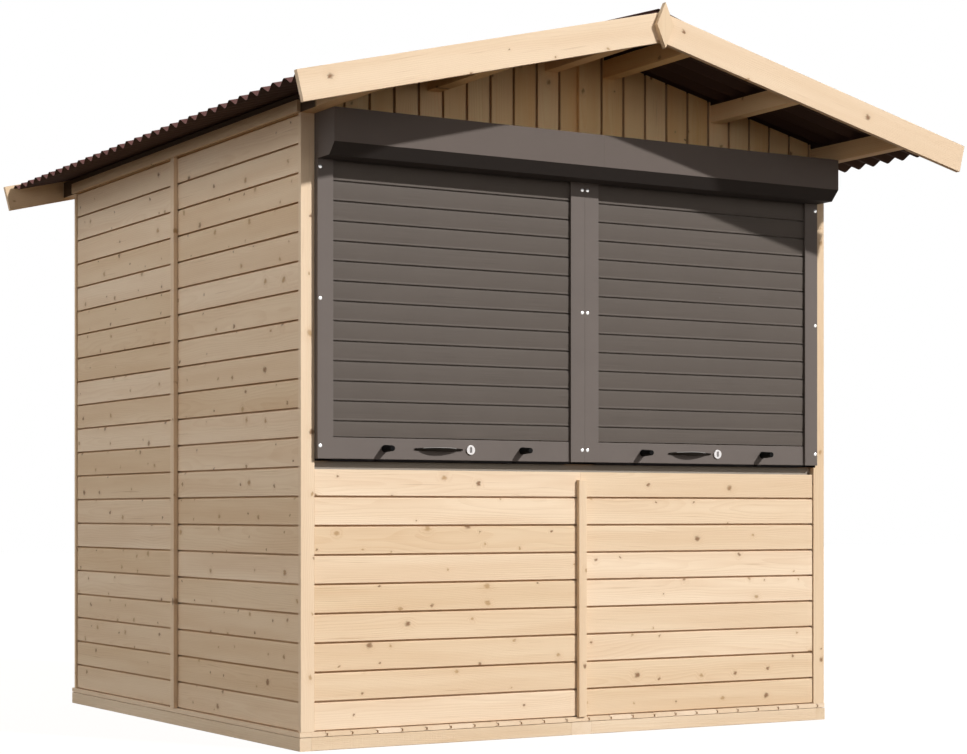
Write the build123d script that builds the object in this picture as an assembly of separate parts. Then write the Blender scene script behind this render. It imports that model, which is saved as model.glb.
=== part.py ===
from build123d import *
import math
import os

# A small timber sales kiosk: two closed roller shutters side by side over a low front wall, boarded
# side and back walls, and a shallow gable roof of corrugated sheet on six purlins.
# Millimetres. +Z is up, the shutters face -Y, and X runs along the front from left to right.

# Footprint and heights
WALL_W = 2004.0  # across the front, over the corner trims
WALL_D = 1942.0  # front to back, over the corner trims
BASE_SIDE = 3.0  # how far the base stands out at each side
BASE_REAR = 16.0  # how far the base stands out behind
BEAM_H = 40.0
BEAM_T = 38.0
CROSS_BEAMS = 4  # in each half of the base
FLOOR_T = 17.0
WALL_H = 1855.0  # from the floor to the underside of the purlins

# Boarding and trims
BOARD_T = 19.0  # thickness of the tongue and groove boards
TRIM_W = 46.0
TRIM_T = 18.0
TRIM_PROUD = 5.0  # how far a corner trim stands in front of the boards
STRIP_W = 30.0
STRIP_T = 15.0
STRIP_STOP = 26.0  # the lower front strip ends this far below the top of the boards
EAVE_STRIP_H = 37.0  # cover strip along an eave purlin, over the side wall
EAVE_STRIP_T = 12.0
POST_T = 45.0  # square posts and rails behind the boards

# Front opening
LOW_WALL_H = 789.0  # boarded height under the shutters
SILL_H = 20.0
SILL_T = 2.0
SEAL_H = 11.0
SEAL_PROUD = 10.0  # how far the rubber strip reaches in front of the trims
GUIDE_W = 53.0
GUIDE_PROUD = 20.0  # how far the guides stand in front of the trims
GUIDE_SLOT = 30.0  # depth of the slot that holds the edge of a curtain
GUIDE_WALL = 2.0
GUIDE_CHAMBER = 19.0  # hollow chamber beside the slot, for the fixing screws
GUIDE_LIP = 8.0  # metal in front of the slot
CURTAIN_T = 8.0
SLOT_T = 11.0  # clear thickness of the slot
CURTAIN_BITE = 22.0  # how far a curtain reaches into its guide
SLAT_PITCH = 60.2
SLAT_GROOVE_H = 6.0
SLAT_GROOVE_D = 2.0
FIRST_SLAT = 51.0  # height of the lowest slat, over the bottom bar
SLAT_BOW = 0.8
CURTAIN_TUCK = 55.0  # a curtain reaches at least this far up into its box
BAR_H = 65.0
BAR_T = 10.0
BAR_ROUND = 2.0

# Shutter boxes
BOX_PROUD = 132.0  # front face of a box, in front of the trims
BOX_H = 137.0
BOX_CHAMFER_H = 35.5
BOX_CHAMFER_D = 34.0
BOX_SHEET = 1.5

# Fittings on a bottom bar
FIT_Z = 33.0  # height of the fittings above the underside of a bar
HANDLE_X = -58.0  # from the middle of a shutter
HANDLE_L = 171.0  # overall, over both feet
HANDLE_FOOT = 18.0
HANDLE_REACH = 25.0
HANDLE_T = 6.0
HANDLE_H = 13.0
LOCK_X = 56.0
LOCK_R = 15.0
LOCK_T = 5.0
KEY_W = 8.0
KEY_L = 19.0
STOP_X = 246.0
STOP_FOOT_R = 11.5
STOP_TIP_R = 8.5
STOP_L = 52.0

# Roof
PITCH = 13.8  # degrees
PURLIN_W = 46.0
PURLIN_H = 58.0
MIDDLE_PURLIN_X = 565.0  # outer face of a middle purlin, from the centre
RIDGE_PURLIN_X = 136.0  # outer face of a ridge purlin, from the centre
FRONT_OVERHANG = 449.0  # front of the barge boards, in front of the trims
REAR_OVERHANG = 135.0
EAVE_X = 1195.0  # lower edge of the sheets, from the centre
SHEET_T = 1.0
SHEET_PLAY = 1.0  # between the sheets' edges and the barge boards
WAVES = 33  # from front to back
WAVE_H = 18.0
WAVE_TURN = 34.0  # degrees that a crest or trough turns to each side
RIDGE_GAP = 12.0  # from the centre to the top edge of a sheet
CAP_WING = 270.0  # from the centre to an edge of the ridge cap
CAP_RISE = 36.5  # fold of the cap, above the apex of the roof plane
BARGE_W = 90.0
BARGE_T = 18.0
BARGE_DROP = 67.0  # lower edge of a barge board, square below the roof plane
BARGE_END_X = 1232.6  # upper corner of a barge board's end, from the centre
FINIAL_W = 64.0
FINIAL_H = 141.0
FINIAL_T = 18.0
FINIAL_RISE = 27.0  # tip above the apex of the barge boards

TOUCH = 0.3  # play between curved or sloping faces that meet

# Sizes that follow from the ones above
FRONT = FINIAL_T + FRONT_OVERHANG - (WALL_D + FRONT_OVERHANG + REAR_OVERHANG + 2 * FINIAL_T) / 2
BACK = FRONT + WALL_D
HALF_W = WALL_W / 2
BASE_HALF = HALF_W + BASE_SIDE
FLOOR_TOP = BEAM_H + FLOOR_T
WALL_TOP = FLOOR_TOP + WALL_H
LOW_TOP = FLOOR_TOP + LOW_WALL_H
SILL_TOP = LOW_TOP + SILL_H
BAR_Z = SILL_TOP + SEAL_H
BOX_Z = WALL_TOP - BOX_H
FACE_X = HALF_W - TRIM_PROUD  # outer face of the side boards
IN_TRIMS = HALF_W - TRIM_W  # half the width between the corner trims
FRONT_FACE = FRONT + TRIM_PROUD
BACK_FACE = BACK - TRIM_PROUD
BOARDS_IN = FRONT_FACE + BOARD_T  # inner face of the front boards
SLOT_Y = FRONT - GUIDE_PROUD + GUIDE_LIP
SLOPE = math.tan(math.radians(PITCH))
ROOF_EDGE_Z = WALL_TOP + PURLIN_H  # roof plane over the outer face of the walls
RIDGE_Z = ROOF_EDGE_Z + HALF_W * SLOPE
ROOF_FRONT = FRONT - FRONT_OVERHANG + BARGE_T
ROOF_BACK = BACK + REAR_OVERHANG - BARGE_T
SHUTTER_MID = IN_TRIMS / 2
SLAT_Z = BAR_Z + BAR_H + FIRST_SLAT  # top of the lowest slat
SLAT_COUNT = 1 + math.ceil((BOX_Z + CURTAIN_TUCK - SLAT_Z) / SLAT_PITCH)
BARGE_APEX_DROP = BARGE_DROP / math.cos(math.radians(PITCH))
BARGE_RISE = BARGE_W / math.cos(math.radians(PITCH))


def roof_z(x):
    """Height of the roof plane, which the purlins' outer top edges touch."""
    return RIDGE_Z - abs(x) * SLOPE


def box(x0, x1, y0, y1, z0, z1):
    """A straight board or beam between two corners."""
    mid = ((x0 + x1) / 2, (y0 + y1) / 2, (z0 + z1) / 2)
    return Pos(*mid) * Box(x1 - x0, y1 - y0, z1 - z0)


def plate_xz(points, y0, y1):
    """An outline drawn on the front of the kiosk and given a thickness along Y."""
    face = make_face(Polyline(*[(x, z) for x, z in points], close=True))
    solid = extrude(Plane.XZ * face, amount=-(y1 - y0))
    return Pos(0, y0, 0) * solid


def rail_yz(face, x0, x1):
    """A section drawn in Y and Z and run along X."""
    return Pos(x0, 0, 0) * extrude(Plane.YZ * face, amount=x1 - x0)


def mirrored(solid):
    return mirror(solid, about=Plane.YZ)


def save(node, *solids):
    os.makedirs("parts", exist_ok=True)
    whole = solids[0] if len(solids) == 1 else Compound(children=list(solids))
    export_step(whole, "parts/" + node + ".step")


# Base and floor


def base_frame():
    """Left half of the base: two long beams with short beams let in between them."""
    y0 = FRONT
    y1 = BACK + BASE_REAR
    x0 = -BASE_HALF
    frame = box(x0, 0, y0, y1, 0, BEAM_H)
    bay = (y1 - y0 - CROSS_BEAMS * BEAM_T) / (CROSS_BEAMS - 1)
    for i in range(CROSS_BEAMS - 1):
        start = y0 + BEAM_T + i * (bay + BEAM_T)
        frame -= box(x0 + BEAM_T, -BEAM_T, start, start + bay, 0, BEAM_H)
    return frame


def floor():
    return box(-BASE_HALF, BASE_HALF, FRONT, BACK + BASE_REAR, BEAM_H, FLOOR_TOP)


# Side walls


def side_panel(y0, y1):
    return box(-FACE_X, -FACE_X + BOARD_T, y0, y1, FLOOR_TOP, WALL_TOP)


def side_strip():
    mid = (FRONT + BACK) / 2
    return box(-FACE_X - STRIP_T, -FACE_X, mid - STRIP_W / 2, mid + STRIP_W / 2, FLOOR_TOP, WALL_TOP)


def eave_strip():
    """The strip nailed on the outer face of an eave purlin, from corner to corner."""
    return box(-HALF_W - EAVE_STRIP_T, -HALF_W, FRONT, BACK, WALL_TOP, WALL_TOP + EAVE_STRIP_H)


def corner_trim(y0):
    return box(-HALF_W, -IN_TRIMS, y0, y0 + TRIM_T, FLOOR_TOP, WALL_TOP)


def side_posts():
    """The three posts that the boards of a side wall are nailed to."""
    x0 = -FACE_X + BOARD_T
    first = FRONT_FACE + BOARD_T
    last = BACK_FACE - BOARD_T - POST_T
    posts = []
    for i in range(3):
        y = first + (last - first) * i / 2
        posts.append(box(x0, x0 + POST_T, y, y + POST_T, FLOOR_TOP, WALL_TOP))
    return posts


# Gables


def gable_outline(bottom):
    """Left half of a gable's boards, notched round the purlins that run through it."""
    outer = -IN_TRIMS
    face = make_face(
        Polyline(
            (outer, bottom),
            (0, bottom),
            (0, roof_z(0) - TOUCH),
            (outer, roof_z(outer) - TOUCH),
            close=True,
        )
    )
    for x in (MIDDLE_PURLIN_X, RIDGE_PURLIN_X):
        top = roof_z(x)
        notch = Pos(-x + PURLIN_W / 2, top) * Rectangle(PURLIN_W, 2 * PURLIN_H)
        face -= notch
    return face


def gable_half(bottom, y0):
    solid = extrude(Plane.XZ * gable_outline(bottom), amount=-BOARD_T)
    return Pos(0, y0, 0) * solid


def gable_strip(bottom, y0):
    """The cover strip over the joint between the two halves of a gable."""
    w = STRIP_W / 2
    points = ((-w, bottom), (w, bottom), (w, roof_z(w) - TOUCH), (0, RIDGE_Z - TOUCH), (-w, roof_z(w) - TOUCH))
    return plate_xz(points, y0, y0 + STRIP_T)


# Front wall


def low_panel():
    return box(-IN_TRIMS, 0, FRONT_FACE, BOARDS_IN, FLOOR_TOP, LOW_TOP)


def low_strip():
    w = STRIP_W / 2
    return box(-w, w, FRONT_FACE - STRIP_T, FRONT_FACE, FLOOR_TOP, LOW_TOP - STRIP_STOP)


def jamb_boards():
    """Boards behind the shutter guides, from the sill to the gable."""
    side = box(-IN_TRIMS, -IN_TRIMS + GUIDE_W, FRONT_FACE, BOARDS_IN, SILL_TOP, BOX_Z)
    middle = box(-GUIDE_W, GUIDE_W, FRONT_FACE, BOARDS_IN, SILL_TOP, BOX_Z)
    return side, middle, mirrored(side)


def front_rails():
    """The sill rail on the low wall and the header over the opening."""
    half = FACE_X - BOARD_T - POST_T
    y1 = BOARDS_IN + POST_T
    top = SILL_TOP - SILL_T
    sill_rail = box(-half, half, BOARDS_IN, y1, top - POST_T, top)
    header = box(-half, half, BOARDS_IN, y1, BOX_Z, BOX_Z + POST_T)
    return sill_rail, header


def front_posts():
    """The middle post, below the sill rail and between the two openings."""
    w = POST_T / 2
    y1 = BOARDS_IN + POST_T
    lower = box(-w, w, BOARDS_IN, y1, FLOOR_TOP, SILL_TOP - SILL_T - POST_T)
    upper = box(-w, w, BOARDS_IN, y1, SILL_TOP, BOX_Z)
    return lower, upper


def sill():
    """A metal angle over the sill rail, set back behind the face of the boards."""
    y0 = BOARDS_IN - SILL_T
    y1 = BOARDS_IN + POST_T
    leg = box(-IN_TRIMS, IN_TRIMS, y0, BOARDS_IN, LOW_TOP, SILL_TOP)
    half = FACE_X - BOARD_T - POST_T
    top = box(-half, half, BOARDS_IN, y1, SILL_TOP - SILL_T, SILL_TOP)
    return leg + top


def seal():
    """The rubber strip that the shutters close on, cut out round the jamb boards."""
    strip = box(-IN_TRIMS, IN_TRIMS, FRONT - SEAL_PROUD, BOARDS_IN, SILL_TOP, BAR_Z)
    for board in jamb_boards():
        strip -= board
    return strip


# Back wall


def back_panel():
    return gable_half(FLOOR_TOP, BACK_FACE - BOARD_T)


def back_strip():
    return gable_strip(FLOOR_TOP, BACK_FACE)


def back_post():
    w = POST_T / 2
    y1 = BACK_FACE - BOARD_T
    return box(-w, w, y1 - POST_T, y1, FLOOR_TOP, WALL_TOP)


# Roller shutters


def guide(x0):
    """A guide rail whose slot opens to the right, with a hollow chamber for its screws."""
    x1 = x0 + GUIDE_W
    y0 = FRONT - GUIDE_PROUD
    rail = box(x0, x1, y0, FRONT_FACE, BAR_Z, BOX_Z)
    rail -= box(x1 - GUIDE_SLOT, x1, SLOT_Y, SLOT_Y + SLOT_T, BAR_Z, BOX_Z)
    cx = x0 + GUIDE_WALL
    rail -= box(cx, cx + GUIDE_CHAMBER, y0 + GUIDE_WALL, FRONT_FACE - GUIDE_WALL, BAR_Z, BOX_Z)
    return rail


def left_guides():
    outer = guide(-IN_TRIMS)
    inner = Pos(-IN_TRIMS, 0, 0) * mirrored(outer)
    return outer, inner


def curtain_section():
    """Section of the slats: a shallow bow to each, and a groove where two are hooked together."""
    front = SLOT_Y + (SLOT_T - CURTAIN_T) / 2
    back = front + CURTAIN_T
    z0 = BAR_Z + BAR_H
    edges = []
    z = z0
    for i in range(SLAT_COUNT):
        top = z0 + FIRST_SLAT + i * SLAT_PITCH
        last = i == SLAT_COUNT - 1
        face_top = top if last else top - SLAT_GROOVE_H
        edges.append(ThreePointArc((front, z), (front - SLAT_BOW, (z + face_top) / 2), (front, face_top)))
        if not last:
            groove = front + SLAT_GROOVE_D
            edges.append(Line((front, face_top), (groove, face_top + SLAT_GROOVE_D)))
            edges.append(Line((groove, face_top + SLAT_GROOVE_D), (groove, top)))
            edges.append(Line((groove, top), (front, top)))
        z = top
    edges.append(Line((front, z), (back, z)))
    edges.append(Line((back, z), (back, z0)))
    edges.append(Line((back, z0), (front, z0)))
    return make_face(edges)


def curtain():
    x0 = -IN_TRIMS + GUIDE_W - CURTAIN_BITE
    return rail_yz(curtain_section(), x0, -GUIDE_W + CURTAIN_BITE)


def bottom_bar():
    """The stiff bar at the foot of a curtain, with a rounded lip along its lower front edge."""
    y0 = SLOT_Y + (SLOT_T - BAR_T) / 2
    x0 = -IN_TRIMS + GUIDE_W - CURTAIN_BITE
    bar = box(x0, -GUIDE_W + CURTAIN_BITE, y0, y0 + BAR_T, BAR_Z, BAR_Z + BAR_H)
    front_edges = bar.edges().filter_by(Axis.X).group_by(Axis.Y)[0]
    return fillet(front_edges, BAR_ROUND)


def box_outline(inset):
    """Section of a shutter box, with its sheet's thickness taken off when inset is given."""
    y0 = FRONT - BOX_PROUD + inset
    y1 = FRONT_FACE - inset
    z0 = BOX_Z + inset
    z1 = WALL_TOP - inset
    lean = math.hypot(BOX_CHAMFER_H, BOX_CHAMFER_D)
    side = inset * (lean - BOX_CHAMFER_D) / BOX_CHAMFER_H
    foot = inset * (lean - BOX_CHAMFER_H) / BOX_CHAMFER_D
    points = (
        (y1, z0),
        (y0 + BOX_CHAMFER_D - foot, z0),
        (y0, z0 + BOX_CHAMFER_H - side),
        (y0, z1),
        (y1, z1),
    )
    return make_face(Polyline(*points, close=True))


def shutter_box():
    """A folded sheet box with closed ends and a slot underneath for the curtain."""
    shell = rail_yz(box_outline(0), -IN_TRIMS, 0)
    shell -= rail_yz(box_outline(BOX_SHEET), -IN_TRIMS + BOX_SHEET, -BOX_SHEET)
    x0 = -IN_TRIMS + GUIDE_W - GUIDE_SLOT
    x1 = -GUIDE_W + GUIDE_SLOT
    shell -= box(x0, x1, SLOT_Y, SLOT_Y + SLOT_T, BOX_Z - BOX_SHEET, BOX_Z + 2 * BOX_SHEET)
    return shell


# Fittings on the bottom bars


def on_bar(x):
    """A plane on the front of the left bottom bar, facing out, at a distance from the shutter's middle."""
    y = SLOT_Y + (SLOT_T - BAR_T) / 2
    return Plane(origin=(-SHUTTER_MID + x, y, BAR_Z + FIT_Z), x_dir=(1, 0, 0), z_dir=(0, -1, 0))


def handle(x):
    """A bow handle bent from flat bar: one shallow arch between two flat feet."""
    end = HANDLE_L / 2
    foot = end - HANDLE_FOOT
    outline = [
        Polyline((-foot, 0), (-end, 0), (-end, HANDLE_T), (-foot, HANDLE_T)),
        ThreePointArc((-foot, HANDLE_T), (0, HANDLE_REACH), (foot, HANDLE_T)),
        Polyline((foot, HANDLE_T), (end, HANDLE_T), (end, 0), (foot, 0)),
        ThreePointArc((foot, 0), (0, HANDLE_REACH - HANDLE_T), (-foot, 0)),
    ]
    bow = Pos(0, HANDLE_H / 2, 0) * extrude(Plane.XZ * make_face(outline), amount=HANDLE_H)
    return on_bar(x).location * bow


def lock(x):
    """A round lock rose with an oval keyway."""
    rose = extrude(Circle(LOCK_R), amount=LOCK_T)
    rose -= Pos(0, 0, LOCK_T / 2) * extrude(SlotOverall(KEY_L, KEY_W, rotation=90), amount=LOCK_T)
    return on_bar(x).location * rose


def stop(x):
    """A tapered rubber buffer, which meets the box when the shutter is up."""
    return on_bar(x).location * Pos(0, 0, STOP_L / 2) * Cone(STOP_FOOT_R, STOP_TIP_R, STOP_L)


def right_of(solid):
    """The same fitting on the right shutter."""
    return Pos(IN_TRIMS, 0, 0) * solid


# Roof


def purlin(x):
    """A purlin with its outer face x from the centre and its outer top edge under the sheets."""
    top = roof_z(x)
    return box(-x, -x + PURLIN_W, ROOF_FRONT, ROOF_BACK, top - PURLIN_H, top)


def wave_edges(y, half, level):
    """One side of the sheet: arcs over the crests and troughs, joined by straight flanks."""
    turn = math.radians(WAVE_TURN)
    radius = (math.tan(turn) * half - WAVE_H) / 2 / (1 / math.cos(turn) - 1)
    reach = radius * math.sin(turn)
    rise = radius * (1 - math.cos(turn))
    mid = level + WAVE_H / 2
    at = (y, mid)
    edges = []
    for i in range(2 * WAVES):
        side = 1 if i % 2 else -1
        centre = y + (i + 0.5) * half
        tip = mid + side * WAVE_H / 2
        foot = tip - side * rise
        edges.append(Line(at, (centre - reach, foot)))
        edges.append(ThreePointArc((centre - reach, foot), (centre, tip), (centre + reach, foot)))
        at = (centre + reach, foot)
    edges.append(Line(at, (y + 2 * WAVES * half, mid)))
    return edges


def corrugated_section():
    """Section of a sheet, drawn along Y with the roof plane as its zero."""
    y = ROOF_FRONT + SHEET_PLAY
    length = ROOF_BACK - ROOF_FRONT - 2 * SHEET_PLAY
    half = length / WAVES / 2
    edges = wave_edges(y, half, TOUCH) + wave_edges(y, half, TOUCH + SHEET_T)
    mid = TOUCH + WAVE_H / 2
    for end in (y, y + length):
        edges.append(Line((end, mid), (end, mid + SHEET_T)))
    return make_face(edges)


def roof_sheet():
    """The left roof sheet, its waves running down the slope."""
    a = math.radians(PITCH)
    up = (math.cos(a), 0, math.sin(a))
    start = Plane(origin=(-RIDGE_GAP, 0, roof_z(RIDGE_GAP)), x_dir=(0, 1, 0), z_dir=up)
    return extrude(start * corrugated_section(), amount=-(EAVE_X - RIDGE_GAP) / math.cos(a))


def ridge_cap():
    """A folded cap over the top of both sheets, steeper than the roof, with its edges on the crests."""
    edge = roof_z(CAP_WING) + (WAVE_H + SHEET_T + 2 * TOUCH) / math.cos(math.radians(PITCH))
    fold = RIDGE_Z + CAP_RISE
    under = [(-CAP_WING, edge), (0, fold), (CAP_WING, edge)]
    over = [(x, z + SHEET_T) for x, z in reversed(under)]
    return plate_xz(under + over, ROOF_FRONT + SHEET_PLAY, ROOF_BACK - SHEET_PLAY)


def barge_board(y0):
    """A left barge board, plumb at the apex and cut square at its lower end."""
    a = math.radians(PITCH)
    end = BARGE_END_X
    foot = end - BARGE_W * math.sin(a)
    low = RIDGE_Z - BARGE_APEX_DROP
    high = low + BARGE_RISE
    points = ((0, low), (-foot, low - foot * SLOPE), (-end, high - end * SLOPE), (0, high))
    return plate_xz(points, y0, y0 + BARGE_T)


def finial(y0):
    """The diamond plate over the joint of two barge boards."""
    tip = RIDGE_Z - BARGE_APEX_DROP + BARGE_RISE + FINIAL_RISE
    w = FINIAL_W / 2
    points = ((0, tip - FINIAL_H), (w, tip - FINIAL_H / 2), (0, tip), (-w, tip - FINIAL_H / 2))
    return plate_xz(points, y0, y0 + FINIAL_T)


# Nodes. What stands on both sides of the centre is made on the left and mirrored. Like pieces that
# lie apart share a node.

MIDDLE = (FRONT + BACK) / 2


def save_halves(name, solid):
    save("left_" + name, solid)
    save("right_" + name, mirrored(solid))


def save_both(name, *solids):
    save(name, *solids, *[mirrored(s) for s in solids])


save_halves("base_frame", base_frame())
save("floor_deck", floor())
save_halves("wall_front_panel", side_panel(FRONT + TRIM_T, MIDDLE))
save_halves("wall_rear_panel", side_panel(MIDDLE, BACK - TRIM_T))
save_both("side_cover_strips", side_strip())
save_both("eave_cover_strips", eave_strip())
save_both("front_corner_trims", corner_trim(FRONT))
save_both("rear_corner_trims", corner_trim(BACK - TRIM_T))
save_both("side_wall_posts", *side_posts())

save_halves("front_low_panel", low_panel())
save_halves("front_gable", gable_half(BOX_Z, FRONT_FACE))
save("front_cover_strips", low_strip(), gable_strip(WALL_TOP, FRONT_FACE - STRIP_T))
save("front_jamb_boards", *jamb_boards())
save("front_rails", *front_rails())
save("shutter_sill", sill())
save("sill_seal", seal())

save_halves("back_panel", back_panel())
save("back_cover_strip", back_strip())
save("middle_posts", *front_posts(), back_post())

save("left_shutter_guides", *left_guides())
save("right_shutter_guides", *[mirrored(s) for s in left_guides()])
save_halves("shutter_curtain", curtain())
save_halves("bottom_bar", bottom_bar())
save_halves("shutter_box", shutter_box())
save("bar_handles", handle(HANDLE_X), right_of(handle(HANDLE_X)))
save("bar_locks", lock(LOCK_X), right_of(lock(LOCK_X)))
stops = [stop(-STOP_X), stop(STOP_X)]
save("bar_stops", *stops, *[right_of(s) for s in stops])

save_both("eave_purlins", purlin(HALF_W))
save_both("middle_purlins", purlin(MIDDLE_PURLIN_X))
save_both("ridge_purlins", purlin(RIDGE_PURLIN_X))
save_halves("roof_sheet", roof_sheet())
save("ridge_cap", ridge_cap())
front_barge = barge_board(FRONT - FRONT_OVERHANG)
rear_barge = barge_board(ROOF_BACK)
save("left_barge_boards", front_barge, rear_barge)
save("right_barge_boards", mirrored(front_barge), mirrored(rear_barge))
save("gable_finials", finial(FRONT - FRONT_OVERHANG - FINIAL_T), finial(ROOF_BACK + BARGE_T))
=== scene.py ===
# %% [markdown]
# # A small timber sales kiosk
# The kiosk is a boarded hut with two closed roller shutters over a low front wall, and a shallow
# roof of corrugated sheet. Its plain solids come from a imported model, already at their real size.
# This lesson dresses them: boards with real coves and joints, planed edges, rivets, and a finish
# for every surface. Lengths are in metres, +Z is up and the shutters face -Y.

# %% Load the plain solids
import math
import random

import bpy
from mathutils import Matrix, Vector


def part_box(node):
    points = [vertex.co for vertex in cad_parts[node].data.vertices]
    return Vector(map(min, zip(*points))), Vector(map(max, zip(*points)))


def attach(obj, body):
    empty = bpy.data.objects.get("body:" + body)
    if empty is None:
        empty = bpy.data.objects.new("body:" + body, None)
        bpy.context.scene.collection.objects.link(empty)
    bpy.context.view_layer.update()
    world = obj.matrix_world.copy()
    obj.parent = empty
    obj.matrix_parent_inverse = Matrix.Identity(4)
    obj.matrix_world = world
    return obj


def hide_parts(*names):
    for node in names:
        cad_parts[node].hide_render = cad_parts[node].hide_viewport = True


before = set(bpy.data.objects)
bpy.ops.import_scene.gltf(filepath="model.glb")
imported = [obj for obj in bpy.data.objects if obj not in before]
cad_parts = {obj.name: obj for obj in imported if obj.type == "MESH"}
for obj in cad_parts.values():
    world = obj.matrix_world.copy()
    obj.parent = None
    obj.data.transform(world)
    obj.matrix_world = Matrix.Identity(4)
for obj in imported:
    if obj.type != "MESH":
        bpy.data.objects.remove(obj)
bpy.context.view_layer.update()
scene = bpy.context.scene

# %% [markdown]
# ## The camera
# The photograph was taken level, from low down in front of the left corner, with the lens shifted
# up so that plumb edges stay upright. A tilted camera would make them lean, so this one is level
# too, and shifted. Its place, turn and focal length were worked out from the kiosk's own edges.

# %% Camera
EYE = (-3.8403, -6.6681, 0.7133)
EYE_TURN = math.radians(-30.68)
SENSOR_MM = 36
LENS_MM = 80.785
SHIFT_UP = 0.1408

bpy.ops.object.camera_add(location=EYE, rotation=(math.radians(90), 0, EYE_TURN))
camera = bpy.context.object
camera.name = "photo_camera"
camera.data.sensor_width = SENSOR_MM
camera.data.lens = LENS_MM
camera.data.shift_y = SHIFT_UP
scene.camera = camera
print("lens:", LENS_MM, "mm, height of the eye:", EYE[2], "m")

# %% [markdown]
# ## Floor and light
# A plain floor takes the kiosk's shadow, and the camera sees it and the background as white. A
# strong light could make them white too, but it would bleach the boards. So the white is only for
# the rays of the camera and those that a glossy or clear surface sends on. For all other rays the
# floor is a dull brown, and the sky is dim overhead and brightest near the horizon.

# %% First helpers for node trees
def socket(tree, place, value):
    """Joins an output to an input, or writes a number there."""
    if isinstance(value, bpy.types.NodeSocket):
        tree.links.new(value, place)
    else:
        place.default_value = value


def calc(tree, operation, *values):
    """One math node."""
    step = tree.nodes.new("ShaderNodeMath")
    step.operation = operation
    for place, value in zip(step.inputs, values):
        socket(tree, place, value)
    return step.outputs[0]


def smooth_range(tree, value, low, high, to_low=0.0, to_high=1.0):
    """Maps a value smoothly from one range to another."""
    step = tree.nodes.new("ShaderNodeMapRange")
    step.interpolation_type = "SMOOTHSTEP"
    for place, number in zip(step.inputs, (value, low, high, to_low, to_high)):
        socket(tree, place, number)
    return step.outputs["Result"]


def split(tree, vector):
    """The X, Y and Z of a vector."""
    parts = tree.nodes.new("ShaderNodeSeparateXYZ")
    tree.links.new(vector, parts.inputs[0])
    return parts.outputs


def new_finish(name):
    """An empty finish: its tree and its shader."""
    finish = bpy.data.materials.new(name)
    finish.use_nodes = True
    return finish, finish.node_tree, finish.node_tree.nodes["Principled BSDF"]


def seen_rays(tree):
    """1 for what the camera sees, also by a reflection or through glass, 0 for other light."""
    path = tree.nodes.new("ShaderNodeLightPath").outputs
    seen = calc(tree, "MAXIMUM", path["Is Camera Ray"], path["Is Glossy Ray"])
    return calc(tree, "MAXIMUM", seen, path["Is Transmission Ray"])


# %% Floor
FLOOR_SIZE = 60
FLOOR_COLOUR = (0.125, 0.09, 0.06, 1)
FLOOR_GLOW = 0.94

bpy.ops.object.select_all(action="DESELECT")
bpy.ops.mesh.primitive_plane_add(size=FLOOR_SIZE, location=(0, 0, 0))
floor = bpy.context.object
floor.name = "studio_floor"
pale, tree, shader = new_finish("pale_floor")
shader.inputs["Base Color"].default_value = FLOOR_COLOUR
shader.inputs["Roughness"].default_value = 0.9
shader.inputs["Specular IOR Level"].default_value = 0.1
shader.inputs["Emission Color"].default_value = (1, 1, 1, 1)
glow = calc(tree, "MULTIPLY", seen_rays(tree), FLOOR_GLOW)
tree.links.new(glow, shader.inputs["Emission Strength"])
floor.data.materials.append(pale)
print("floor:", FLOOR_SIZE, "m square")

# %% Sky
HORIZON, OVERHEAD = 1.12, 0.065
LOW_SKY, HIGH_SKY = 0.13, 0.34

sky = bpy.data.worlds.new("studio_sky")
scene.world = sky
sky.use_nodes = True
tree = sky.node_tree
background = tree.nodes["Background"]
background.inputs["Color"].default_value = (1, 1, 1, 1)
height = split(tree, tree.nodes.new("ShaderNodeTexCoord").outputs["Generated"])["Z"]
strength = tree.nodes.new("ShaderNodeMapRange")
tree.links.new(seen_rays(tree), strength.inputs["Value"])
dim = smooth_range(tree, height, LOW_SKY, HIGH_SKY, HORIZON, OVERHEAD)
tree.links.new(dim, strength.inputs["To Min"])
strength.inputs["To Max"].default_value = 1.0
tree.links.new(strength.outputs["Result"], background.inputs["Strength"])
print("sky strength:", HORIZON, "at the horizon,", OVERHEAD, "overhead")

# %% [markdown]
# The shadows in the photograph fall to the left and are sharp. So the main light is a sun lamp in
# front on the right, whose angle sets how soft a shadow's edge is. A second sun lamp, very broad
# and weak, stands behind on the left and fills the shaded side wall.

# %% Lamps
LAMP_FAR = 6


def sun_lamp(name, way, energy, spread):
    """A sun lamp that stands in a direction and shines back from it."""
    turn = way.to_track_quat("Z", "Y").to_euler()
    bpy.ops.object.light_add(type="SUN", location=way * LAMP_FAR, rotation=turn)
    lamp = bpy.context.object
    lamp.name = name
    lamp.data.energy = energy
    lamp.data.angle = math.radians(spread)
    print(name, "energy:", energy)


sun_lamp("key_sun", Vector((0.412, -0.751, 0.449)), energy=3.18, spread=1.5)
sun_lamp("soft_fill", Vector((-0.75, 0.45, 0.48)), energy=0.88, spread=35)
scene.view_settings.view_transform = "Standard"

# %% [markdown]
# ## Helpers for making a piece
# A board, a slat or a beam has the same section from end to end. A cube could be cut to shape, but
# every cut would have to be found again. So the section is drawn point by point on the ring of a
# circle, and extruded along the piece. An operator works on everything that is selected, so each
# step first clears the selection.

# %% Selection and extruded outlines
def take(piece):
    """Selects one piece alone and makes it the active one."""
    bpy.ops.object.select_all(action="DESELECT")
    piece.select_set(True)
    bpy.context.view_layer.objects.active = piece
    return piece


def along(axis, far, a, b):
    """A point at a distance along an axis, from its two other coordinates."""
    return {"X": (far, a, b), "Y": (a, far, b), "Z": (a, b, far)}[axis]


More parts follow.
